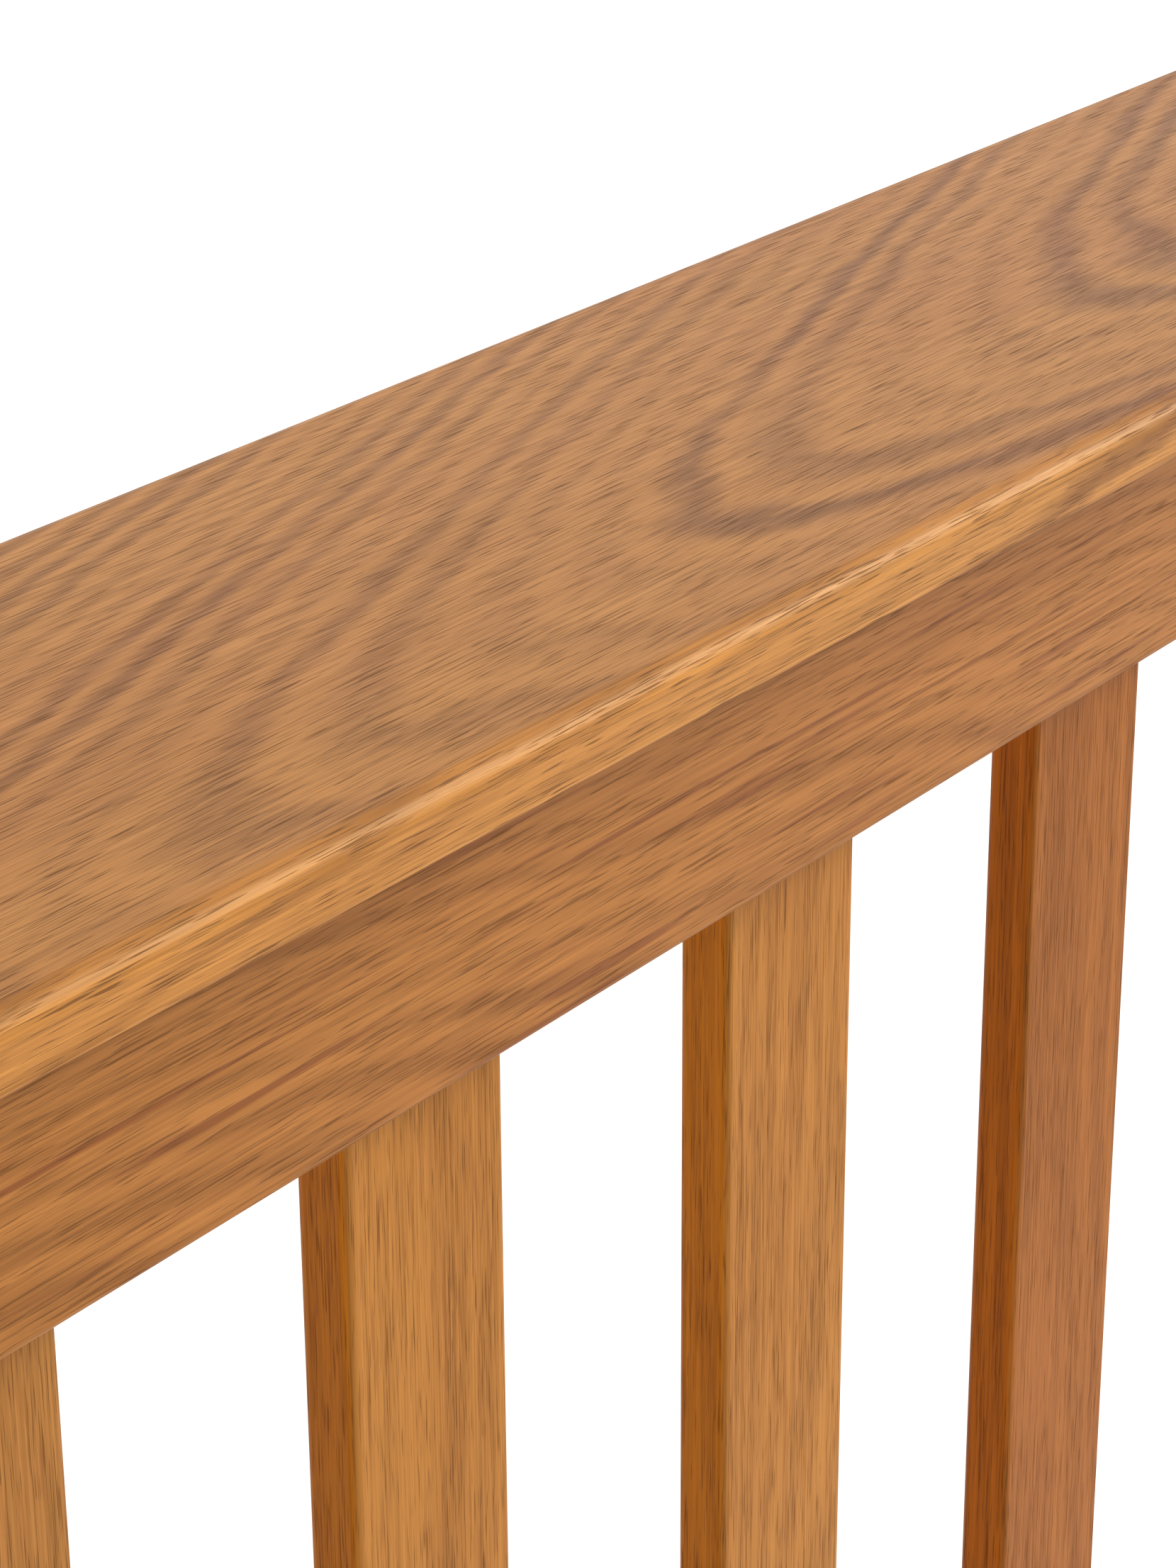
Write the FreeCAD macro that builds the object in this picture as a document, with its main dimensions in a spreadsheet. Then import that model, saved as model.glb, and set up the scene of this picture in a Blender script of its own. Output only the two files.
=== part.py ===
# An oak safety gate: a fixed U-shaped frame that screws between two walls, and a slatted leaf that swings in
# it. The leaf is a shallow box: two deep stiles, front and rear rails at the top and bottom, seven flat slats
# in the front plane and a broad cap board. It hangs on two pin hinges, and a slide bolt with a release button
# holds it shut. +X runs along the gate from the hinge side to the latch side, -Y to the front and +Z up, in
# mm. The origin is the middle of the frame's underside.

import FreeCAD, Part
import math
import os
import re
import Sketcher

Vector = FreeCAD.Vector
doc = FreeCAD.newDocument("safety_gate")

# ---------------------------------------------------------------- driving dimensions
sheet = doc.addObject("Spreadsheet::Sheet", "Sizes")
SIZES = {
    # leaf
    "slat_count": 7, "slat_wide": 38, "slat_thick": 10, "slat_gap": 60, "slat_setback": 6, "slat_round": 1.6,
    "tenon_long": 12, "stile_wide": 34, "rail_thick": 22, "rail_high": 45, "arris_round": 1.5,
    "leaf_front": -50, "leaf_back": 47, "leaf_low": 32, "cap_thick": 11, "cap_deep": 121, "cap_round": 4,
    "cap_under_round": 0.8, "gate_high": 760,
    # fixed frame
    "post_wide": 28, "post_deep": 100, "hinge_gap": 5, "latch_gap": 10, "sill_high": 16, "sill_ramp": 9,
    "gasket_thick": 2, "gasket_inset": 5,
    "stop_wide": 40, "stop_thick": 11, "stop_overlap": 10, "stop_low": 70, "stop_high": 730,
    # wall fixings
    "wall_hole_apart": 60, "wall_hole_rise": 380, "wall_hole_low": 190, "wall_hole_radius": 2.75,
    "wall_head_radius": 6, "wall_head_deep": 9,
    # dowels
    "dowel_radius": 3, "dowel_reach": 20, "cap_dowel_up": 7, "cap_dowel_down": 18, "dowel_apart": 14,
    "sill_dowel_out": 32, "sill_dowel_skin": 4,
    # hinges
    "hinge_long": 60, "knuckle_radius": 5.5, "hinge_pin_radius": 3, "pin_clearance": 0.05, "plate_thick": 2.5,
    "knuckle_out": 5.5, "hinge_plate_wide": 22, "hinge_up_z": 630, "hinge_low_z": 130, "knuckle_end": 17,
    "knuckle_gap": 0.4, "tip_radius": 4.2, "screw_head": 3.6, "screw_shank": 1.8, "screw_long": 20,
    # latch
    "bolt_radius": 5, "bolt_clearance": 0.08, "bolt_long": 100, "bolt_out": 9.5, "latch_z": 726,
    "latch_long": 84, "latch_tall": 34, "guide_wide": 12, "guide_half": 9, "knob_radius": 10, "knob_long": 17,
    "latch_wall": 2.5, "knob_from_guide": 18, "stem_radius": 3.5, "stem_long": 7, "button_radius": 4,
    "button_proud": 3, "button_long": 8, "button_round": 1, "socket_deep": 14, "seat_deep": 5,
    "spring_wire": 0.6, "spring_coil": 2.8, "spring_turns": 3, "spring_slack": 0.4,
    "latch_screw_up": 12.8, "latch_screw_in": 22, "keeper_long": 22, "keeper_start": 1.5,
    "keeper_slack": 0.6, "keeper_lip": 6,
    "bumper_radius": 6, "bumper_thick": 2.7, "bumper_in": 7, "bumper_end": 60,
}
for row, (name, value) in enumerate(SIZES.items(), start=1):
    sheet.set(f"A{row}", name)
    sheet.set(f"B{row}", str(value))
    sheet.setAlias(f"B{row}", name)
DERIVED = {
    "slat_step": "slat_wide + slat_gap",
    "clear_wide": "slat_count * slat_wide + (slat_count + 1) * slat_gap",
    "leaf_wide": "clear_wide + 2 * stile_wide",
    "gate_wide": "leaf_wide + hinge_gap + latch_gap + 2 * post_wide",
    "leaf_left": "-gate_wide / 2 + post_wide + hinge_gap",
    "clear_left": "leaf_left + stile_wide",
    "leaf_right": "leaf_left + leaf_wide",
    "post_right": "gate_wide / 2 - post_wide",
    "leaf_deep": "leaf_back - leaf_front",
    "cap_low": "gate_high - cap_thick",
    "rail_low": "cap_low - rail_high",
    "slat_low": "leaf_low + rail_high",
    "slat_front": "leaf_front + slat_setback",
    "hinge_x": "leaf_left - hinge_gap / 2",
    "hinge_y": "leaf_front - knuckle_out",
    "bolt_y": "leaf_front - bolt_out",
    "bolt_tip": "leaf_right - 1",
    "latch_left": "leaf_right - 3 - latch_long",
    "knob_x": "latch_left + guide_wide + knob_from_guide",
    "plate_front": "leaf_front - plate_thick",
    "latch_deep": "bolt_out - plate_thick + bolt_radius + latch_wall",
    "latch_low": "latch_z - latch_tall / 2",
    "knob_back": "bolt_y - bolt_radius - stem_long",
    "knob_front": "knob_back - knob_long",
    "sill_left": "-gate_wide / 2 + post_wide",
    "sill_long": "gate_wide - 2 * post_wide",
}


def with_sheets(formula):
    """The formula with each driving size read from Sizes and each worked-out size from Worked."""
    def full(match):
        word = match.group(0)
        return f"Sizes.{word}" if word in SIZES else f"Worked.{word}" if word in DERIVED else word
    return re.sub(r"[a-z_]\w*", full, str(formula))


worked = doc.addObject("Spreadsheet::Sheet", "Worked")
for row, (name, formula) in enumerate(DERIVED.items(), start=1):
    worked.set(f"A{row}", name)
    worked.setAlias(f"B{row}", name)
    worked.set(f"B{row}", "=" + with_sheets(formula).replace("Worked.", ""))
doc.recompute()


def size(name):
    """A driving or worked-out size, in mm."""
    return float(getattr(sheet if name in SIZES else worked, name))


def bind(obj, prop, formula):
    """Ties a property to a formula of the sheets' names."""
    obj.setExpression(prop, with_sheets(formula))


def place(obj, x, y, z):
    for axis, formula in zip("xyz", (x, y, z)):
        bind(obj, f"Placement.Base.{axis}", formula)


def box(name, long, deep, high, x, y, z):
    """A block with its lowest corner at x, y, z."""
    obj = doc.addObject("Part::Box", name)
    for prop, formula in (("Length", long), ("Width", deep), ("Height", high)):
        bind(obj, prop, formula)
    place(obj, x, y, z)
    return obj


TURNS = {
    "x": FreeCAD.Rotation(Vector(0, 1, 0), 90),
    "y": FreeCAD.Rotation(Vector(1, 0, 0), -90),
    "z": FreeCAD.Rotation(),
}


def rod(name, radius, long, x, y, z, along="z"):
    """A cylinder that starts at x, y, z and runs along a row axis."""
    obj = doc.addObject("Part::Cylinder", name)
    obj.Placement.Rotation = TURNS[along]
    bind(obj, "Radius", radius)
    bind(obj, "Height", long)
    place(obj, x, y, z)
    return obj


def cone(name, radius, end_radius, long, x, y, z, along="z"):
    obj = doc.addObject("Part::Cone", name)
    obj.Placement.Rotation = TURNS[along]
    for prop, formula in (("Radius1", radius), ("Radius2", end_radius), ("Height", long)):
        bind(obj, prop, formula)
    place(obj, x, y, z)
    return obj


def ball(name, radius, x, y, z):
    obj = doc.addObject("Part::Sphere", name)
    bind(obj, "Radius", radius)
    place(obj, x, y, z)
    return obj


def together(name, shapes):
    obj = doc.addObject("Part::MultiFuse", name)
    obj.Shapes = shapes
    return obj


def less(name, base, tools):
    """base with every tool cut out of it."""
    cut = doc.addObject("Part::Cut", name)
    cut.Base = base
    cut.Tool = tools[0] if len(tools) == 1 else together(name + "_tools", tools)
    return cut


def group(name, shapes):
    """Separate solids in one node, such as a set of screws."""
    obj = doc.addObject("Part::Compound", name)
    obj.Links = shapes
    return obj


def rounded(name, base, pick):
    """base with the edges that pick(edge) gives a radius for rounded."""
    doc.recompute()
    obj = doc.addObject("Part::Fillet", name)
    obj.Base = base
    edges = [(n, pick(e), pick(e)) for n, e in enumerate(base.Shape.Edges, start=1) if pick(e)]
    obj.Edges = edges
    return obj


def edge_runs(edge, axis):
    """True if a straight edge runs along a row axis."""
    if not isinstance(edge.Curve, Part.Line):
        return False
    way = edge.Curve.Direction
    return abs(getattr(way, axis)) > 0.999


def long_edges(axis, radius, shortest=40):
    """Picks a board's arrises along its length, and leaves the edges of its mortises and holes sharp."""
    return lambda edge: radius if edge_runs(edge, axis) and edge.Length > shortest else 0


PARTS = {}


def part(name, obj):
    """Names a sub-part's last object, which is written to parts/name.step."""
    obj.Label = name
    PARTS[name] = obj
    return obj


# ---------------------------------------------------------------- the leaf's woodwork
def board_body(name, long, deep, high, x, y, z):
    """A PartDesign board: its end section sketched on YZ and padded along X."""
    body = doc.addObject("PartDesign::Body", name + "_body")
    plane = next(f for f in body.Origin.OriginFeatures if f.Role == "YZ_Plane")
    sketch = body.newObject("Sketcher::SketchObject", name + "_section")
    sketch.AttachmentSupport = [(plane, "")]
    sketch.MapMode = "FlatFace"
    corners = [Vector(0, 0, 0), Vector(1, 0, 0), Vector(1, 1, 0), Vector(0, 1, 0)]
    for n in range(4):
        sketch.addGeometry(Part.LineSegment(corners[n] * 10, corners[(n + 1) % 4] * 10), False)
    for n in range(4):
        sketch.addConstraint(Sketcher.Constraint("Coincident", n, 2, (n + 1) % 4, 1))
    for n, way in enumerate(("Horizontal", "Vertical", "Horizontal", "Vertical")):
        sketch.addConstraint(Sketcher.Constraint(way, n))
    sketch.addConstraint(Sketcher.Constraint("Coincident", 0, 1, -1, 1))
    wide = sketch.addConstraint(Sketcher.Constraint("DistanceX", 0, 1, 0, 2, 10))
    tall = sketch.addConstraint(Sketcher.Constraint("DistanceY", 1, 1, 1, 2, 10))
    bind(sketch, f"Constraints[{wide}]", deep)
    bind(sketch, f"Constraints[{tall}]", high)
    pad = body.newObject("PartDesign::Pad", name + "_pad")
    pad.Profile = sketch
    bind(pad, "Length", long)
    doc.recompute()
    place(body, x, y, z)
    return body, pad


def dress(body, feature, axis, picks):
    """Rounds edges of a PartDesign board along one axis. picks: [(suffix, radius, test of edge centre)]."""
    for suffix, radius, test in picks:
        doc.recompute()
        names = [f"Edge{n}" for n, e in enumerate(feature.Shape.Edges, start=1)
                 if edge_runs(e, axis) and test(e.CenterOfMass)]
        fillet = body.newObject("PartDesign::Fillet", f"{body.Name}_{suffix}")
        fillet.Base = (feature, names)
        bind(fillet, "Radius", radius)
        feature = fillet
    body.Tip = feature
    doc.recompute()
    return feature


def slat_x(n):
    """The left side of slat n, counted from 0 at the hinge side."""
    return f"clear_left + slat_gap + {n} * slat_step"


SLATS = int(SIZES["slat_count"])
RAIL_ENDS = (("left", "clear_left"), ("right", "clear_left + clear_wide"))
RAILS = {  # name: (front face, lowest point)
    "front_top_rail": ("leaf_front", "rail_low"),
    "rear_top_rail": ("leaf_back - rail_thick", "rail_low"),
    "front_bottom_rail": ("leaf_front", "leaf_low"),
    "rear_bottom_rail": ("leaf_back - rail_thick", "leaf_low"),
}
CAP_DOWELS = {"front_top_rail": 6, "rear_top_rail": 4}


def rail_dowel_places():
    """Name, start and height of each dowel between a rail and a stile."""
    for rail, (y, z) in RAILS.items():
        for side, x in RAIL_ENDS:
            for level, sign in (("a", "-"), ("b", "+")):
                yield (f"{rail}_{side}_{level}", rail, side, f"{x} - dowel_reach", f"{y} + rail_thick / 2",
                       f"{z} + rail_high / 2 {sign} dowel_apart / 2")


def cap_dowel_places():
    for rail, count in CAP_DOWELS.items():
        for n in range(count):
            yield (f"{rail}_cap_{n}", rail, f"clear_left + ({n} + 0.5) * clear_wide / {count}",
                   f"{RAILS[rail][0]} + rail_thick / 2")


def dowel(name, x, y, z):
    return rod(name, "dowel_radius", "2 * dowel_reach", x, y, z, "x")


def cap_dowel(name, x, y):
    return rod(name, "dowel_radius", "cap_dowel_up + cap_dowel_down", x, y, "cap_low - cap_dowel_down")


def make_rail(name, extra=()):
    y, z = RAILS[name]
    blank = box(name + "_blank", "clear_wide", "rail_thick", "rail_high", "clear_left", y, z)
    blank = rounded(name + "_eased", blank, long_edges("x", size("arris_round")))
    tools = [dowel(f"{n}_bore", *at) for n, rail, side, *at in rail_dowel_places() if rail == name]
    tools += [cap_dowel(f"{n}_bore", *at) for n, rail, *at in cap_dowel_places() if rail == name]
    if name.startswith("front"):
        mouth = "rail_low" if "top" in name else "slat_low - tenon_long"
        for n in range(SLATS):
            tools.append(box(f"{name}_mortise_{n}", "slat_wide", "slat_thick", "tenon_long",
                             slat_x(n), "slat_front", mouth))
    part(name, less(name, blank, tools + list(extra)))


def make_slat(n):
    """A flat slat with eased arrises and a square tenon at each end."""
    def length(name, long, z):
        return box(f"slat_{n}_{name}", "slat_wide", "slat_thick", long, slat_x(n), "slat_front", z)

    shown = length("blank", "rail_low - slat_low", "slat_low")
    eased = rounded(f"slat_{n}_eased", shown, long_edges("z", size("slat_round")))
    low_tenon = length("low_tenon", "tenon_long", "slat_low - tenon_long")
    high_tenon = length("high_tenon", "tenon_long", "rail_low")
    part(f"slat_{n + 1}", together(f"slat_{n + 1}", [eased, low_tenon, high_tenon]))


def make_cap():
    body, pad = board_body("cap_board", "leaf_wide", "cap_deep", "cap_thick",
                           "leaf_left", "-cap_deep / 2", "cap_low")
    half = size("cap_thick") / 2
    # The feature's shape is in the body's own axes, so its middle is at half its thickness.
    dress(body, pad, "x", [("top", "cap_round", lambda c: c.z > half),
                           ("under", "cap_under_round", lambda c: c.z < half)])
    tools = [cap_dowel(f"{n}_socket", x, y) for n, rail, x, y in cap_dowel_places()]
    part("cap_board", less("cap_board", body, tools))


def make_dowels():
    part("rail_dowels", group("rail_dowels", [dowel(n, *at) for n, rail, side, *at in rail_dowel_places()]))
    part("cap_dowels", group("cap_dowels", [cap_dowel(n, *at) for n, rail, *at in cap_dowel_places()]))


# ---------------------------------------------------------------- screws
def screw(name, x, y, z, along, sign=1):
    """A countersunk wood screw whose flat head faces away from sign times the axis."""
    head, shank, long = size("screw_head"), size("screw_shank"), size("screw_long")
    drop = head - shank
    way = {"x": Vector(1, 0, 0), "y": Vector(0, 1, 0), "z": Vector(0, 0, 1)}[along] * sign
    start = Vector(x, y, z)
    taper = Part.makeCone(head, shank, drop, start, way)
    body = Part.makeCylinder(shank, long - drop - shank, start + way * drop, way)
    point = Part.makeCone(shank, 0.3, shank, start + way * (long - shank), way)
    solid = taper.fuse([body, point]).removeSplitter()
    return solid


def screw_slot(x, y, z, along, sign=1):
    """The cross recess in a screw's head."""
    reach, wide, deep = 2.0, 0.7, 1.1
    if along == "y":
        low = y if sign > 0 else y - deep
        a = Part.makeBox(2 * reach, deep, wide, Vector(x - reach, low, z - wide / 2))
        b = Part.makeBox(wide, deep, 2 * reach, Vector(x - wide / 2, low, z - reach))
    else:
        low = x if sign > 0 else x - deep
        a = Part.makeBox(deep, 2 * reach, wide, Vector(low, y - reach, z - wide / 2))
        b = Part.makeBox(deep, wide, 2 * reach, Vector(low, y - wide / 2, z - reach))
    return a.fuse(b)


def solid_feature(name, shape):
    obj = doc.addObject("Part::Feature", name)
    obj.Shape = shape
    return obj


def screws(name, places, along, sign=1):
    """A node of screws, and the hole solids that their neighbours are cut with."""
    bodies = [screw("s", x, y, z, along, sign) for x, y, z in places]
    heads = [b.cut(screw_slot(x, y, z, along, sign)) for b, (x, y, z) in zip(bodies, places)]
    part(name, solid_feature(name, Part.makeCompound(heads)))
    return solid_feature(name + "_holes", Part.makeCompound(bodies))


HINGES = {"upper": size("hinge_up_z"), "lower": size("hinge_low_z")}
FACE = size("leaf_front")
PLATE_FACE = FACE - size("plate_thick")


def hinge_screw_places(side):
    """Three screws in each plate, the middle one further from the pin."""
    for middle in HINGES.values():
        for step, out in ((-20, 10.5), (0, 16), (20, 10.5)):
            x = size("hinge_x") + out if side == "gate" else size("hinge_x") - out
            yield x, PLATE_FACE, middle + step


def make_hinge(level):
    """Two plates with interleaved knuckles on one pin: the post's at both ends, the gate's between them."""
    z0 = f"hinge_{'up' if level == 'upper' else 'low'}_z - hinge_long / 2"
    spans = {
        "post": [("low", z0, "knuckle_end"), ("high", f"{z0} + hinge_long - knuckle_end", "knuckle_end")],
        "gate": [("mid", f"{z0} + knuckle_end + knuckle_gap",
                  "hinge_long - 2 * (knuckle_end + knuckle_gap)")],
    }
    for side, knuckles in spans.items():
        name = f"{level}_hinge_{side}_plate"
        x = "hinge_x" if side == "gate" else "hinge_x - hinge_plate_wide"
        plate = box(name + "_leaf", "hinge_plate_wide", "plate_thick", "hinge_long", x,
                    "leaf_front - plate_thick", z0)
        other = spans["gate" if side == "post" else "post"]
        reliefs = [rod(f"{name}_relief_{n}", "knuckle_radius + knuckle_gap", f"{long} + 2 * knuckle_gap",
                       "hinge_x", "hinge_y", f"{z} - knuckle_gap") for n, z, long in other]
        cut = less(name + "_relieved", plate, reliefs)
        barrels = [rod(f"{name}_barrel_{n}", "knuckle_radius", long, "hinge_x", "hinge_y", z)
                   for n, z, long in knuckles]
        # A root block under each barrel carries it on to the plate.
        root_x = "hinge_x" if side == "gate" else "hinge_x - knuckle_radius"
        roots = [box(f"{name}_root_{n}", "knuckle_radius", "knuckle_out", long, root_x, "hinge_y", z)
                 for n, z, long in knuckles]
        solid = together(name + "_solid", [cut] + barrels + roots)
        slack = "pin_clearance" if side == "gate" else "0"
        bore = rod(name + "_bore", f"hinge_pin_radius + {slack}", "hinge_long", "hinge_x", "hinge_y", z0)
        part(name, less(name, solid, [bore, HOLES[f"hinge_{side}"]]))
    pin = rod(f"{level}_pin_rod", "hinge_pin_radius", "hinge_long", "hinge_x", "hinge_y", z0)
    tips = [ball(f"{level}_pin_tip_{n}", "tip_radius", "hinge_x", "hinge_y", z)
            for n, z in (("low", f"{z0} - 2.6"), ("high", f"{z0} + hinge_long + 2.6"))]
    clear = box(f"{level}_pin_gap", "20", "20", "hinge_long", "hinge_x - 10", "hinge_y - 10", z0)
    caps = less(f"{level}_pin_caps", together(f"{level}_pin_tips", tips), [clear])
    part(f"{level}_hinge_pin", together(f"{level}_hinge_pin", [pin, caps]))


# ---------------------------------------------------------------- stiles
def make_stile(name, x, side, extra):
    blank = box(name + "_blank", "stile_wide", "leaf_deep", "cap_low - leaf_low", x, "leaf_front", "leaf_low")
    blank = rounded(name + "_eased", blank, long_edges("z", size("arris_round")))
    bores = [dowel(f"{n}_socket", xx, y, z) for n, rail, s, xx, y, z in rail_dowel_places() if s == side]
    part(name, less(name, blank, bores + extra))


# ---------------------------------------------------------------- the fixed frame
def wall_hole_places():
    for y in ("-wall_hole_apart / 2", "wall_hole_apart / 2"):
        for z in ("wall_hole_low", "wall_hole_low + wall_hole_rise"):
            yield y, z


def make_post(name, x, inward, extra):
    """A wall post with four counterbored fixing holes. inward is the side that faces the leaf."""
    blank = box(name + "_blank", "post_wide", "post_deep", "gate_high", x, "-post_deep / 2", "0")
    blank = rounded(name + "_eased", blank, long_edges("z", size("arris_round")))
    tools = []
    for n, (y, z) in enumerate(wall_hole_places()):
        tools.append(rod(f"{name}_hole_{n}", "wall_hole_radius", "post_wide", x, y, z, "x"))
        start = f"{x} + post_wide - wall_head_deep" if inward == "right" else x
        tools.append(rod(f"{name}_head_{n}", "wall_head_radius", "wall_head_deep", start, y, z, "x"))
    part(name, less(name, blank, tools + extra))


def make_sill():
    blank = box("sill_blank", "sill_long", "post_deep", "sill_high",
                "sill_left", "-post_deep / 2", "gasket_thick")
    doc.recompute()
    ramp = doc.addObject("Part::Chamfer", "sill_ramps")
    ramp.Base = blank
    top, run = size("gasket_thick") + size("sill_high"), size("sill_ramp")
    ramp.Edges = [(n, run, run) for n, e in enumerate(blank.Shape.Edges, start=1)
                  if edge_runs(e, "x") and e.CenterOfMass.z > top - 0.1]
    part("threshold_sill", less("threshold_sill", ramp, [HOLES["sill_left"], HOLES["sill_right"]]))
    part("sill_gasket", box("sill_gasket", "sill_long", "post_deep - 2 * gasket_inset", "gasket_thick",
                            "sill_left", "-post_deep / 2 + gasket_inset", "0"))


def make_stop():
    """The strip that the leaf shuts against, on the back of the latch post, and its three soft pads."""
    x = "post_right - stop_overlap - latch_gap"
    strip = box("stop_blank", "stop_wide", "stop_thick", "stop_high - stop_low",
                x, "post_deep / 2", "stop_low")
    strip = rounded("stop_eased", strip, long_edges("z", size("arris_round")))
    part("stop_strip", less("stop_strip", strip, [HOLES["stop"]]))
    heights = ("stop_low + bumper_end", "(stop_low + stop_high) / 2", "stop_high - bumper_end")
    pads = [rod(f"bumper_{n}", "bumper_radius", "bumper_thick", f"{x} + bumper_in",
                "post_deep / 2 - bumper_thick", z, "y") for n, z in enumerate(heights)]
    part("bumper_pads", group("bumper_pads", pads))


# ---------------------------------------------------------------- the latch
def fixing_plate(name, long, x):
    """A flat plate with rounded corners on the front of the leaf or of the post."""
    plate = box(name, long, "plate_thick", "latch_tall", x, "plate_front", "latch_low")
    return rounded(name + "_eased", plate, lambda e: 3 if edge_runs(e, "y") else 0)


def bolt_block(name, long, x):
    """A block in front of a plate that the bolt runs through, with its two front arrises rounded."""
    block = box(name, long, "latch_deep", "2 * guide_half",
                x, "plate_front - latch_deep", "latch_z - guide_half")
    front = size("bolt_y")
    return rounded(name + "_eased", block,
                   lambda e: 5 if edge_runs(e, "x") and e.CenterOfMass.y < front else 0)


def make_latch():
    plate = fixing_plate("latch_plate", "latch_long", "latch_left")
    guides = [bolt_block(f"guide_{n}", "guide_wide", x)
              for n, x in enumerate(("latch_left + 2", "latch_left + latch_long - guide_wide - 2"))]
    solid = together("latch_solid", [plate] + guides)
    bore = rod("latch_bore", "bolt_radius + bolt_clearance", "latch_long", "latch_left", "bolt_y",
               "latch_z", "x")
    part("latch_housing", less("latch_housing", solid, [bore, HOLES["latch"]]))

    shank = rod("bolt_shank", "bolt_radius", "bolt_long - 2", "bolt_tip - bolt_long", "bolt_y",
                "latch_z", "x")
    nose = cone("bolt_nose", "bolt_radius", "bolt_radius - 2", "2", "bolt_tip - 2", "bolt_y", "latch_z", "x")
    stem = rod("bolt_stem", "stem_radius", "stem_long + bolt_radius", "knob_x", "knob_back", "latch_z", "y")
    part("latch_bolt", together("latch_bolt", [shank, nose, stem]))
    make_knob(size("knob_back"))


def make_knob(back):
    """The turned knob on the bolt's stem, bored from the front for the release button."""
    radius, long = size("knob_radius"), size("knob_long")
    points = [Vector(0, back + 4, 0), Vector(size("stem_radius") + 3, back + 4, 0)]
    waist = Vector(size("stem_radius") + 2.2, back + 1, 0)
    rim_back, rim_front = Vector(radius, back - 7, 0), Vector(radius, back + 2.5 - long, 0)
    nose = Vector(radius - 2.5, back - long, 0)
    edges = [
        Part.LineSegment(points[0], points[1]).toShape(),
        Part.Arc(points[1], waist, rim_back).toShape(),
        Part.LineSegment(rim_back, rim_front).toShape(),
        Part.Arc(rim_front, Vector(radius - 0.73, back - long + 0.73, 0), nose).toShape(),
        Part.LineSegment(nose, Vector(0, back - long, 0)).toShape(),
        Part.LineSegment(Vector(0, back - long, 0), points[0]).toShape(),
    ]
    turned = Part.Face(Part.Wire(edges)).revolve(Vector(0, 0, 0), Vector(0, 1, 0), 360)
    knob = solid_feature("knob_turned", turned)
    place(knob, "knob_x", "0", "latch_z")
    socket = rod("knob_socket", "button_radius + bolt_clearance", "socket_deep", "knob_x", "knob_front",
                 "latch_z", "y")
    seat = rod("knob_seat", "stem_radius", "seat_deep", "knob_x", "knob_back", "latch_z", "y")
    part("bolt_knob", less("bolt_knob", knob, [socket, seat]))
    button = rod("button_blank", "button_radius", "button_long", "knob_x", "knob_front - button_proud",
                 "latch_z", "y")
    rim, ease = size("knob_front") - 1, size("button_round")
    part("release_button", rounded("release_button", button,
                                   lambda e: ease if e.CenterOfMass.y < rim and e.Closed else 0))
    coil_spring("button_spring", "knob_x", "knob_front + button_long + spring_slack", "latch_z")


def coil_spring(name, x, y, z):
    """The button's return spring, as short as the pushed button leaves it."""
    wire, coil, turns = size("spring_wire"), size("spring_coil"), size("spring_turns")
    rise = size("socket_deep") - size("button_long") - size("spring_slack") - 2 * wire
    helix = Part.makeHelix(rise / turns, rise, coil)
    way = Vector(0, 1, rise / turns / (2 * math.pi * coil))
    section = Part.Wire([Part.Circle(Vector(coil, 0, 0), way, wire).toShape()])
    spring = Part.Wire(helix.Edges).makePipeShell([section], True, True)
    spring.rotate(Vector(0, 0, 0), Vector(1, 0, 0), -90)
    obj = solid_feature(name, spring)
    place(obj, x, f"{y} + spring_wire", z)
    part(name, obj)


def make_keeper():
    """The staple on the latch post that the bolt shoots into."""
    x = "post_right + keeper_start"
    plate = fixing_plate("keeper_plate", "keeper_long", x)
    block = bolt_block("keeper_block", "keeper_long - keeper_lip", x)
    half = "(bolt_radius + keeper_slack)"
    mouth = box("keeper_mouth", "keeper_long", f"plate_front - bolt_y + {half}", f"2 * {half}",
                x, f"bolt_y - {half}", f"latch_z - {half}")
    solid = together("keeper_solid", [plate, block])
    part("latch_keeper", less("latch_keeper", solid, [mouth, HOLES["keeper"]]))


# ---------------------------------------------------------------- assembly
latch_z = size("latch_z")
screw_rows = (-size("latch_screw_up"), size("latch_screw_up"))
screw_columns = (size("latch_screw_in"), size("latch_long") - size("latch_screw_in"))
latch_screws = [(size("latch_left") + dx, PLATE_FACE, latch_z + dz)
                for dx in screw_columns for dz in screw_rows]
keeper_x = size("post_right") + size("keeper_start") + size("keeper_long") / 2
stop_x = size("post_right") + 13
sill_z = size("gasket_thick") + size("sill_high") / 2
edge_x = size("gate_wide") / 2
HOLES = {
    "hinge_gate": screws("hinge_gate_screws", list(hinge_screw_places("gate")), "y"),
    "hinge_post": screws("hinge_post_screws", list(hinge_screw_places("post")), "y"),
    "latch": screws("latch_screws", latch_screws, "y"),
    "keeper": screws("keeper_screws", [(keeper_x, PLATE_FACE, latch_z + dz) for dz in screw_rows], "y"),
    "stop": screws("stop_screws", [(stop_x, size("post_deep") / 2 + size("stop_thick"), z)
                                   for z in (110, 300, 500, 690)], "y", -1),
    "sill_left": None,
    "sill_right": None,
}
sill_places = [(y, sill_z) for y in (-size("sill_dowel_out"), size("sill_dowel_out"))]


def sill_dowel_set(sign):
    """Two dowels that hold one end of the sill to its post."""
    start = sign * (edge_x - size("sill_dowel_skin"))
    long = size("post_wide") - size("sill_dowel_skin") + size("dowel_reach")
    way = Vector(-sign, 0, 0)
    return Part.makeCompound([Part.makeCylinder(size("dowel_radius"), long, Vector(start, y, z), way)
                              for y, z in sill_places])


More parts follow.
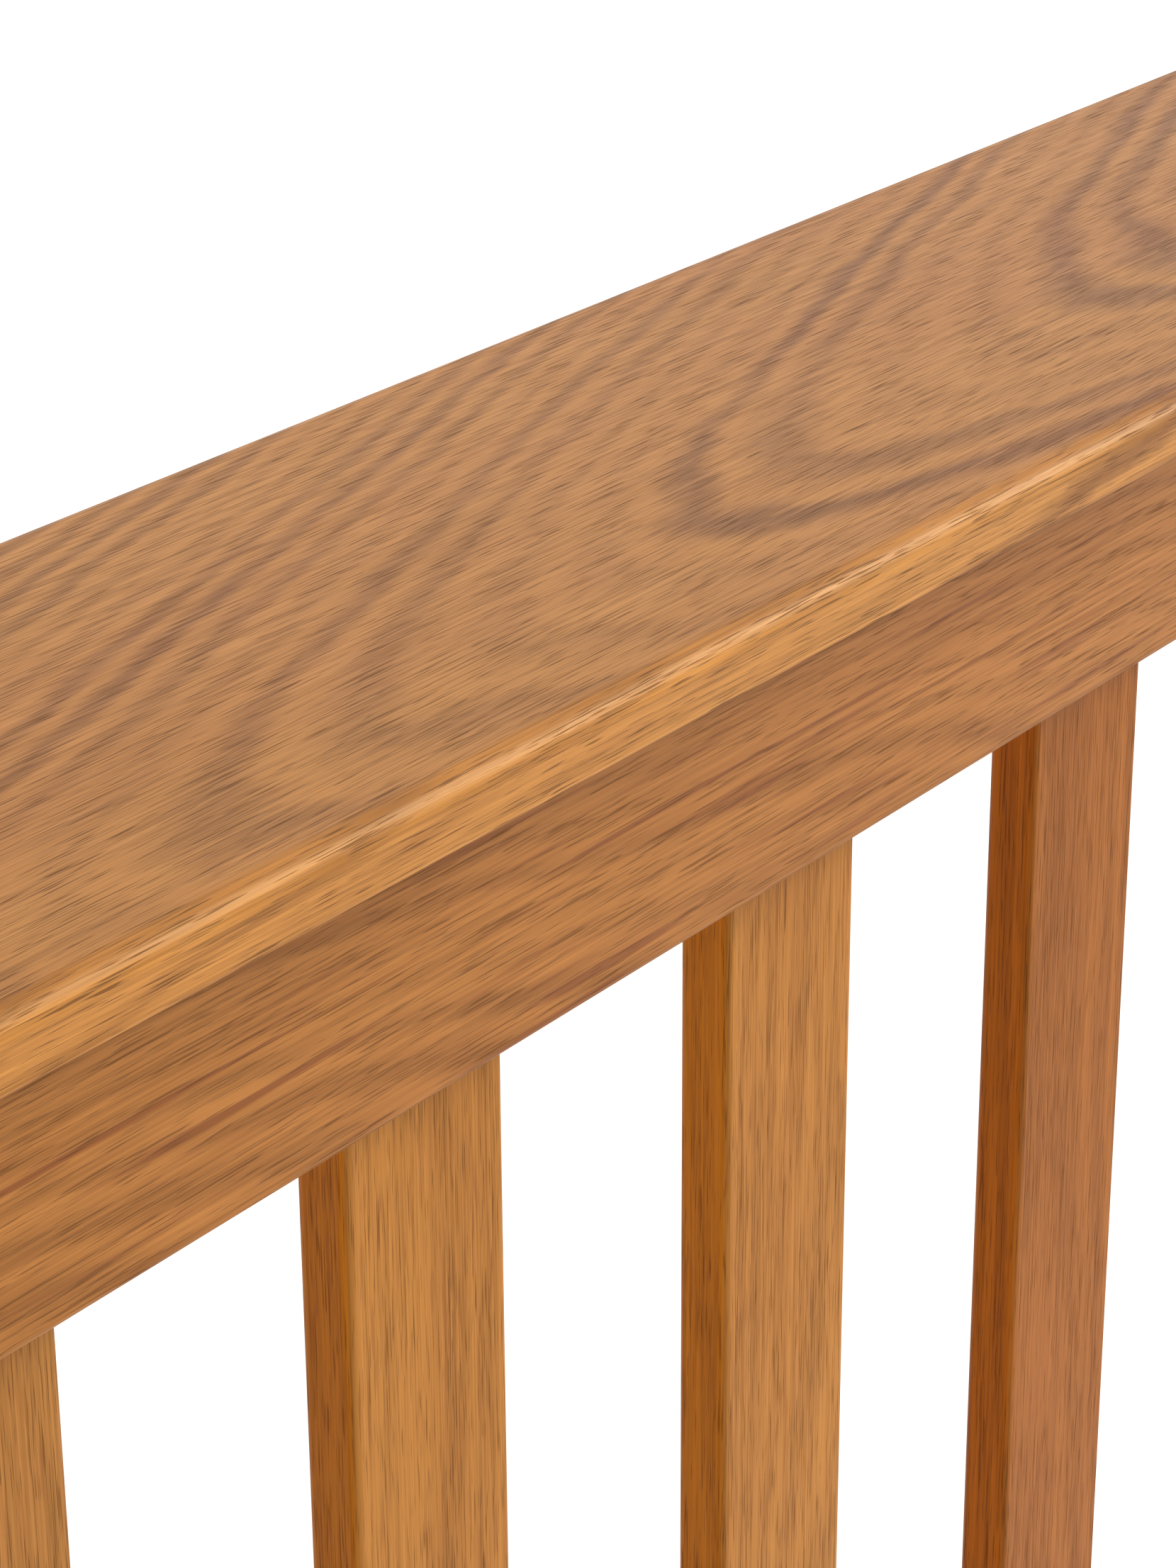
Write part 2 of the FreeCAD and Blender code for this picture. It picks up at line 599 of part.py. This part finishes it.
left, right = sill_dowel_set(-1), sill_dowel_set(1)
HOLES["sill_left"] = solid_feature("sill_left_holes", left)
HOLES["sill_right"] = solid_feature("sill_right_holes", right)
part("sill_dowels", solid_feature("sill_dowels", Part.makeCompound(left.Solids + right.Solids)))

for rail_name in RAILS:
    # The latch's inner screws go into the rail behind its plate.
    make_rail(rail_name, [HOLES["latch"]] if rail_name == "front_top_rail" else [])
for slat_number in range(SLATS):
    make_slat(slat_number)
make_cap()
make_dowels()
for hinge_level in HINGES:
    make_hinge(hinge_level)
make_stile("hinge_stile", "leaf_left", "left", [HOLES["hinge_gate"]])
make_stile("latch_stile", "clear_left + clear_wide", "right", [HOLES["latch"]])
make_post("hinge_post", "-gate_wide / 2", "right", [HOLES["hinge_post"], HOLES["sill_left"]])
make_post("latch_post", "post_right", "left", [HOLES["keeper"], HOLES["stop"], HOLES["sill_right"]])
make_sill()
make_stop()
make_latch()
make_keeper()
doc.recompute()

# ---------------------------------------------------------------- checks and export
bad = [o.Name for o in doc.Objects if {"Invalid", "Error"} & set(o.State)]
assert not bad, f"failed objects: {bad}"
os.makedirs("parts", exist_ok=True)
for name, obj in PARTS.items():
    shape = obj.Shape
    assert not shape.isNull() and shape.isValid() and shape.Solids, name
    print(f"{name}: {len(shape.Solids)} solids, {shape.Volume / 1000:.1f} cm3")
    shape.exportStep(f"parts/{name}.step")
print("hinge axis", size("hinge_x"), size("hinge_y"), "gate wide", size("gate_wide"))
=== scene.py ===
import math

import bpy
from mathutils import Matrix, Vector


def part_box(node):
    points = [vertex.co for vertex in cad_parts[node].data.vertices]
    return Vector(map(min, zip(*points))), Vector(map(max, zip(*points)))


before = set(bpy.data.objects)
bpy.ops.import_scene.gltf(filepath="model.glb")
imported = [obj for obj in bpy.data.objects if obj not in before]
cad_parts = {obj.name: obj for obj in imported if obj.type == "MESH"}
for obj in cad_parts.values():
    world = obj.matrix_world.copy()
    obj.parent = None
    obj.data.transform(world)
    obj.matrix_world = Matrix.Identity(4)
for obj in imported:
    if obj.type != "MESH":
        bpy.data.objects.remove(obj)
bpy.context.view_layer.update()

# ---------------------------------------------------------------- colours (linear) and finishes
OAK_LIGHT = (0.425, 0.178, 0.036)
OAK_DARK = (0.190, 0.068, 0.010)
OAK_RED = (0.215, 0.062, 0.012)
PORE = (0.085, 0.027, 0.005)
STEEL = (0.60, 0.59, 0.56)
ZINC = (0.66, 0.66, 0.67)
SLAT_TINTS = ((1.05, 1.06, 1.10), (1.05, 1.14, 1.35), (1.09, 1.08, 1.00), (1.14, 1.14, 1.06),
              (0.88, 0.69, 0.46), (1.03, 1.00, 0.90), (0.98, 0.94, 0.85))    # from the hinge side
WARM_SHEEN = (1.0, 0.82, 0.55)
KEY_COLOUR = (1.0, 0.93, 0.80)
MM = 0.001


class Graph:
    """One material and the nodes added to it."""

    def __init__(self, name):
        self.material = bpy.data.materials.new(name)
        self.material.use_nodes = True
        self.tree = self.material.node_tree
        self.shader = self.tree.nodes["Principled BSDF"]

    def add(self, kind, *inputs, **settings):
        """A node of that kind. Inputs are sockets or values, in the order of the node's own inputs."""
        node = self.tree.nodes.new(kind)
        for key, value in settings.items():
            setattr(node, key, value)
        for socket, value in zip(node.inputs, inputs):
            self.give(socket, value)
        return node

    def give(self, socket, value):
        if isinstance(value, bpy.types.NodeSocket):
            self.tree.links.new(value, socket)
        elif value is not None:
            socket.default_value = value

    def calc(self, operation, *inputs):
        return self.add("ShaderNodeMath", *inputs, operation=operation).outputs[0]

    def total(self, *terms):
        out = terms[0]
        for term in terms[1:]:
            out = self.calc("ADD", out, term)
        return out

    def spread(self, value, low, high, new_low=0.0, new_high=1.0):
        """value taken from low..high to new_low..new_high, smoothly and without passing either end."""
        node = self.add("ShaderNodeMapRange", value, low, high, new_low, new_high,
                        interpolation_type="SMOOTHSTEP")
        return node.outputs[0]

    def noise(self, vector, detail=2.0, rough=0.5):
        node = self.add("ShaderNodeTexNoise")
        self.give(node.inputs["Vector"], vector)
        node.inputs["Scale"].default_value = 1.0
        node.inputs["Detail"].default_value = detail
        node.inputs["Roughness"].default_value = rough
        return node

    def point(self, x, y, z):
        return self.add("ShaderNodeCombineXYZ", x, y, z).outputs[0]

    def mix(self, amount, first, second, blend="MIX"):
        node = self.add("ShaderNodeMix", data_type="RGBA", blend_type=blend)
        for name, value in (("Factor_Float", amount), ("A_Color", first), ("B_Color", second)):
            socket = next(s for s in node.inputs if s.identifier == name)
            self.give(socket, value if isinstance(value, (bpy.types.NodeSocket, float)) else (*value, 1.0))
        return next(s for s in node.outputs if s.identifier == "Result_Color")

    def bump(self, height, distance, strength):
        node = self.add("ShaderNodeBump")
        node.inputs["Strength"].default_value = strength
        node.inputs["Distance"].default_value = distance
        self.give(node.inputs["Height"], height)
        self.give(self.shader.inputs["Normal"], node.outputs[0])

    def set(self, **values):
        """Sets the shader's own sockets: Base_Color=..., Roughness=..."""
        for name, value in values.items():
            colour = isinstance(value, tuple)
            self.give(self.shader.inputs[name.replace("_", " ")], (*value, 1.0) if colour else value)


def scaled(colour, factor, shift=(1.0, 1.0, 1.0)):
    return tuple(c * factor * s for c, s in zip(colour, shift))


def oak(name, run, middle, seed, **look):
    """Solid oak: growth rings round a pith line beside the board, with open pores and long dark streaks.

    run is the row axis that the grain follows. middle is the board's centre, in metres. The rings are nested
    cones, so a board's wide face shows arches and its edges show straight lines. side_tint multiplies
    the colour of the faces that look along the row axis numbered side: painted light where a factor is above
    one, painted shade where it is below one.
    """
    look = {"pith": (0.0, -0.030), "lean": 0.0, "ring": 4.6 * MM, "cone": 0.035, "wave": 9 * MM,
            "tone": 1.0, "tint": (1.0, 1.0, 1.0), "rings": 0.8, "ripple": 3.2 * MM, "streaks": 0.45,
            "streak_long": 26.0, "streak_wide": 1.1, "pores": 0.55, "fibre": 0.42, "sheen": 0.22,
            "side": 0, "side_tint": None} | look
    g = Graph(name)
    place = g.add("ShaderNodeTexCoord").outputs["Object"]
    axes = g.add("ShaderNodeSeparateXYZ", place).outputs
    order = {"x": (0, 1, 2), "y": (1, 2, 0), "z": (2, 0, 1)}[run]
    along, across, depth = [g.calc("SUBTRACT", axes[i], middle[i]) for i in order]

    def grain(per_along, per_across, shift):
        """Board coordinates with each direction's own frequency, per metre."""
        return g.point(g.calc("MULTIPLY_ADD", along, per_along, seed + shift),
                       g.calc("MULTIPLY_ADD", across, per_across, seed * 0.7 - shift),
                       g.calc("MULTIPLY_ADD", depth, per_across, shift))

    # growth rings
    drift = g.add("ShaderNodeSeparateColor", g.noise(grain(5.0, 11.0, 3.1), 2.0).outputs["Color"]).outputs
    sway = [g.calc("MULTIPLY_ADD", channel, look["wave"], -look["wave"] / 2) for channel in drift[:2]]
    u = g.total(across, g.calc("MULTIPLY_ADD", along, -look["lean"], -look["pith"][0]), sway[0])
    v = g.total(depth, -look["pith"][1], sway[1])
    radius = g.calc("SQRT", g.total(g.calc("MULTIPLY", u, u), g.calc("MULTIPLY", v, v)))
    ripple = g.calc("MULTIPLY_ADD", g.noise(grain(28.0, 70.0, 9.7), 3.0, 0.6).outputs["Fac"],
                    look["ripple"], -look["ripple"] / 2)
    radius = g.total(radius, g.calc("MULTIPLY", along, look["cone"]), ripple)
    turn = g.calc("DIVIDE", g.calc("ADD", radius, 1.0), look["ring"])
    phase = g.calc("FRACT", turn)
    each = g.add("ShaderNodeTexWhiteNoise", noise_dimensions="1D")
    g.give(each.inputs["W"], g.calc("ADD", g.calc("FLOOR", turn), seed))
    rise, fall = g.spread(phase, 0.0, 0.42), g.spread(phase, 0.42, 1.0, 1.0, 0.0)
    early = g.calc("MULTIPLY", rise, fall)
    fade = g.spread(g.noise(grain(7.0, 24.0, 5.5), 2.0).outputs["Fac"], 0.30, 0.62, 0.50, 1.0)
    strength = g.calc("MULTIPLY", fade, g.spread(each.outputs["Value"], 0.20, 0.9, 0.22, look["rings"]))
    ring_dark = g.calc("MULTIPLY", early, strength)

    # fibre, mineral streaks and pores
    fibre = g.noise(grain(20.0, 2300.0, 1.3), 3.0, 0.6).outputs["Fac"]
    cloud = g.noise(grain(3.0, 34.0, 6.0), 2.0).outputs["Fac"]
    lines = g.noise(grain(9.0, 330.0, 2.2), 3.0, 0.6).outputs["Fac"]
    wide = 1000.0 / look["streak_wide"]
    streak = g.noise(grain(1000.0 / look["streak_long"], wide, 4.4), 1.5).outputs["Fac"]
    streak = g.spread(streak, 0.58, 0.72)
    pore = g.noise(grain(95.0, 3900.0, 8.8), 1.0).outputs["Fac"]
    pore = g.spread(g.calc("MULTIPLY_ADD", early, 0.06, pore), 0.60, 0.71)

    light = scaled(OAK_LIGHT, look["tone"], look["tint"])
    dark = scaled(OAK_DARK, look["tone"], look["tint"])
    colour = g.mix(ring_dark, light, dark)
    colour = g.mix(g.spread(cloud, 0.35, 0.75, 0.0, 0.30), colour, scaled(OAK_RED, 1.35 * look["tone"]))
    colour = g.mix(g.spread(lines, 0.48, 0.80, 0.0, 0.42), colour, dark)
    colour = g.mix(g.spread(fibre, 0.44, 0.72, 0.0, look["fibre"]), colour, scaled(dark, 0.85))
    colour = g.mix(g.spread(fibre, 0.50, 0.24, 0.0, look["fibre"]), colour, scaled(light, 1.30))
    colour = g.mix(g.calc("MULTIPLY", streak, look["streaks"]), colour, scaled(OAK_RED, look["tone"]))
    colour = g.mix(g.calc("MULTIPLY", pore, look["pores"]), colour, PORE)
    # painted light and shade: faces that look along the side axis get their colour multiplied by the side
    # tint
    if look["side_tint"]:
        normal = g.add("ShaderNodeSeparateXYZ", g.add("ShaderNodeTexCoord").outputs["Normal"]).outputs
        side = g.spread(g.calc("ABSOLUTE", normal[look["side"]]), 0.55, 0.95)
        colour = g.mix(side, colour, g.mix(1.0, colour, look["side_tint"], "MULTIPLY"))
    rough = g.total(g.calc("MULTIPLY", pore, 0.18), g.spread(fibre, 0.3, 0.8, 0.36, 0.48))
    g.set(Base_Color=colour, Roughness=rough, Specular_IOR_Level=look["sheen"], Specular_Tint=WARM_SHEEN)
    height = g.total(g.calc("MULTIPLY", pore, -1.0), g.calc("MULTIPLY", fibre, 0.55),
                     g.calc("MULTIPLY", streak, -0.35))
    g.bump(height, 0.12 * MM, 0.42)
    return g.material


def brushed(name, colour, run, rough):
    """Metal with fine brush lines along one row axis."""
    g = Graph(name)
    axes = g.add("ShaderNodeSeparateXYZ", g.add("ShaderNodeTexCoord").outputs["Object"]).outputs
    rates = [60.0 if axis == run else 5200.0 for axis in "xyz"]
    stretched = g.point(*[g.calc("MULTIPLY", a, r) for a, r in zip(axes, rates)])
    lines = g.noise(stretched, 3.0, 0.6).outputs["Fac"]
    wear = g.noise(g.point(*[g.calc("MULTIPLY", a, 90.0) for a in axes]), 3.0).outputs["Fac"]
    g.set(Base_Color=g.mix(g.spread(wear, 0.35, 0.7), colour, scaled(colour, 0.82)),
          Roughness=g.total(g.spread(lines, 0.25, 0.75, rough - 0.07, rough + 0.08),
                            g.calc("MULTIPLY", wear, 0.06)),
          Metallic=1.0)
    g.bump(lines, 0.02 * MM, 0.35)
    return g.material


def moulded(name, colour, rough, size, depth):
    """Rubber or plastic with a fine moulded skin."""
    g = Graph(name)
    axes = g.add("ShaderNodeSeparateXYZ", g.add("ShaderNodeTexCoord").outputs["Object"]).outputs
    skin = g.noise(g.point(*[g.calc("MULTIPLY", a, 1.0 / size) for a in axes]), 3.0, 0.6).outputs["Fac"]
    dust = g.noise(g.point(*[g.calc("MULTIPLY", a, 45.0) for a in axes]), 3.0).outputs["Fac"]
    g.set(Base_Color=g.mix(g.spread(dust, 0.45, 0.8, 0.0, 0.35), colour, scaled(colour, 2.2)),
          Roughness=g.spread(skin, 0.2, 0.8, rough - 0.08, rough + 0.1))
    g.bump(skin, depth, 0.5)
    return g.material


def middle_of(node):
    low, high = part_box(node)
    return (low + high) / 2


def dress(node, material):
    """Gives a CAD node that material in place of its plain one."""
    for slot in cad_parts[node].material_slots:
        slot.material = material


# ---------------------------------------------------------------- oak boards
def dress_cap():
    low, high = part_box("cap_board")
    centre = middle_of("cap_board")
    # painted light: the cap's front and back faces get a brighter, paler colour from the side tint (1.28,
    # 1.36, 1.44)
    dress("cap_board", oak("oak_cap", "x", centre, 11.0, pith=(low.y + 0.030 - centre.y, -0.034),
                           lean=0.10, ring=5.6 * MM, cone=-0.17, wave=16 * MM, rings=1.0, ripple=5.0 * MM,
                           streaks=0.12, pores=0.75, fibre=0.54, sheen=0.30, side=1,
                           side_tint=(1.28, 1.36, 1.44)))


def dress_rails():
    for n, node in enumerate(("front_top_rail", "rear_top_rail", "front_bottom_rail", "rear_bottom_rail")):
        dress(node, oak(f"oak_{node}", "x", middle_of(node), 23.0 + 5.7 * n, pith=(-0.060, -0.035),
                        ring=3.6 * MM, cone=0.09, wave=10 * MM, rings=0.6, streaks=0.85, streak_long=75.0,
                        streak_wide=1.7, tint=(1.0, 0.95, 1.02)))


def dress_slats():
    slats = sorted(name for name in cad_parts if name.startswith("slat_"))
    for n, node in enumerate(slats):
        side = 0.018 if n % 2 else -0.012
        pith = (side, 0.030 + 0.004 * (n % 3))
        # painted shade: the slats' two side faces get a redder, far less blue colour from the side tint
        # (1.22, 0.97, 0.24)
        dress(node, oak(f"oak_{node}", "z", middle_of(node), 41.0 + 3.9 * n, pith=pith, ring=4.2 * MM,
                        cone=0.05 - 0.02 * (n % 3), wave=10 * MM, rings=0.42, streaks=0.34, streak_long=17.0,
                        streak_wide=1.2, sheen=0.12, tint=SLAT_TINTS[n], side_tint=(1.22, 0.97, 0.24)))


def dress_uprights():
    for n, node in enumerate(("hinge_stile", "latch_stile", "hinge_post", "latch_post")):
        dress(node, oak(f"oak_{node}", "z", middle_of(node), 70.0 + 4.3 * n, pith=(0.032 - 0.02 * n, -0.040),
                        ring=4.4 * MM, cone=0.06 - 0.03 * n, wave=12 * MM, rings=0.7, streaks=0.4))
    dress("stop_strip", oak("oak_stop", "z", middle_of("stop_strip"), 91.0, pith=(0.01, 0.03), rings=0.5))
    dress("threshold_sill", oak("oak_sill", "x", middle_of("threshold_sill"), 97.0, pith=(0.02, -0.03),
                                cone=0.1, wave=14 * MM))
    for node in ("rail_dowels", "cap_dowels", "sill_dowels"):
        dress(node, oak(f"beech_{node}", "x", middle_of(node), 103.0, tone=1.3, rings=0.2, streaks=0.1,
                        tint=(1.0, 1.35, 1.9)))


def dress_hardware():
    plates = brushed("steel_plates", STEEL, "z", 0.34)
    turned = brushed("steel_turned", STEEL, "x", 0.26)
    screws = brushed("zinc_screws", ZINC, "y", 0.30)
    rubber = moulded("rubber_black", (0.030, 0.030, 0.031), 0.62, 0.5 * MM, 0.05 * MM)
    button = moulded("button_grey", (0.045, 0.046, 0.050), 0.42, 0.3 * MM, 0.02 * MM)
    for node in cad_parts:
        if node.endswith("_screws") or node == "button_spring":
            dress(node, screws)
        elif "hinge" in node and ("plate" in node or "pin" in node):
            dress(node, plates)
    for node in ("latch_housing", "latch_keeper"):
        dress(node, brushed(f"steel_{node}", STEEL, "x", 0.34))
    for node in ("latch_bolt", "bolt_knob"):
        dress(node, turned)
    for node in ("sill_gasket", "bumper_pads"):
        dress(node, rubber)
    dress("release_button", button)


dress_cap()
dress_rails()
dress_slats()
dress_uprights()
dress_hardware()


# ---------------------------------------------------------------- studio
def make_floor():
    size = 14.0
    mesh = bpy.data.meshes.new("floor")
    half = size / 2
    corners = [(-half, -half, 0), (half, -half, 0), (half, half, 0), (-half, half, 0)]
    mesh.from_pydata(corners, [], [(0, 1, 2, 3)])
    floor = bpy.data.objects.new("floor", mesh)
    bpy.context.collection.objects.link(floor)
    g = Graph("floor_paper")
    axes = g.add("ShaderNodeSeparateXYZ", g.add("ShaderNodeTexCoord").outputs["Object"]).outputs
    paper = g.noise(g.point(*[g.calc("MULTIPLY", a, 400.0) for a in axes]), 2.0).outputs["Fac"]
    g.set(Base_Color=g.mix(g.spread(paper, 0.3, 0.7), (0.86, 0.86, 0.86), (0.88, 0.88, 0.88)), Roughness=0.9,
          Emission_Color=(1.0, 1.0, 1.0), Emission_Strength=0.16)
    mesh.materials.append(g.material)


def make_sun(name, towards, strength, spread, colour=(1.0, 1.0, 1.0)):
    """A soft light that comes from the direction towards."""
    lamp = bpy.data.lights.new(name, "SUN")
    lamp.energy = strength
    lamp.color = colour
    lamp.angle = math.radians(spread)
    sun = bpy.data.objects.new(name, lamp)
    sun.rotation_mode = "QUATERNION"
    sun.rotation_quaternion = Vector(towards).to_track_quat("Z", "Y")
    bpy.context.collection.objects.link(sun)


def make_world(fill, backdrop):
    """A white room that lights the object softly and shows white behind it."""
    world = bpy.data.worlds.new("studio")
    world.use_nodes = True
    tree = world.node_tree
    back = tree.nodes["Background"]
    path = tree.nodes.new("ShaderNodeLightPath")
    strength = tree.nodes.new("ShaderNodeMapRange")
    strength.inputs["To Min"].default_value = backdrop
    strength.inputs["To Max"].default_value = fill
    tree.links.new(path.outputs["Is Diffuse Ray"], strength.inputs["Value"])
    tree.links.new(strength.outputs[0], back.inputs["Strength"])
    back.inputs["Color"].default_value = (1.0, 1.0, 1.0, 1.0)
    bpy.context.scene.world = world


def make_camera():
    """Looks down and along the gate from in front of its hinge side, close to the cap board."""
    left_slat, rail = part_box("slat_2"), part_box("front_top_rail")
    corner = Vector((left_slat[1].x, left_slat[0].y, rail[0].z))
    eye = corner + Vector((-0.3333, -0.3380, 0.2806))
    yaw, pitch, roll = math.radians(53.28), math.radians(23.70), math.radians(0.38)
    ahead = Vector((math.sin(yaw) * math.cos(pitch), math.cos(yaw) * math.cos(pitch), -math.sin(pitch)))
    right = Vector((math.cos(yaw), -math.sin(yaw), 0))
    down = ahead.cross(right)
    side = right * math.cos(roll) + down * math.sin(roll)
    below = down * math.cos(roll) - right * math.sin(roll)
    data = bpy.data.cameras.new("camera")
    data.lens = 92.9
    data.clip_start, data.clip_end = 0.01, 60.0
    camera = bpy.data.objects.new("camera", data)
    turn = Matrix((side, -below, -ahead)).transposed()
    camera.matrix_world = Matrix.Translation(eye) @ turn.to_4x4()
    bpy.context.collection.objects.link(camera)
    bpy.context.scene.camera = camera


make_floor()
make_sun("key", (0.70, -0.50, 0.51), 2.85, 32, KEY_COLOUR)
make_sun("top", (0.05, -0.10, 1.0), 1.45, 70)
make_world(0.30, 1.0)
make_camera()
bpy.context.scene.view_settings.view_transform = "Standard"
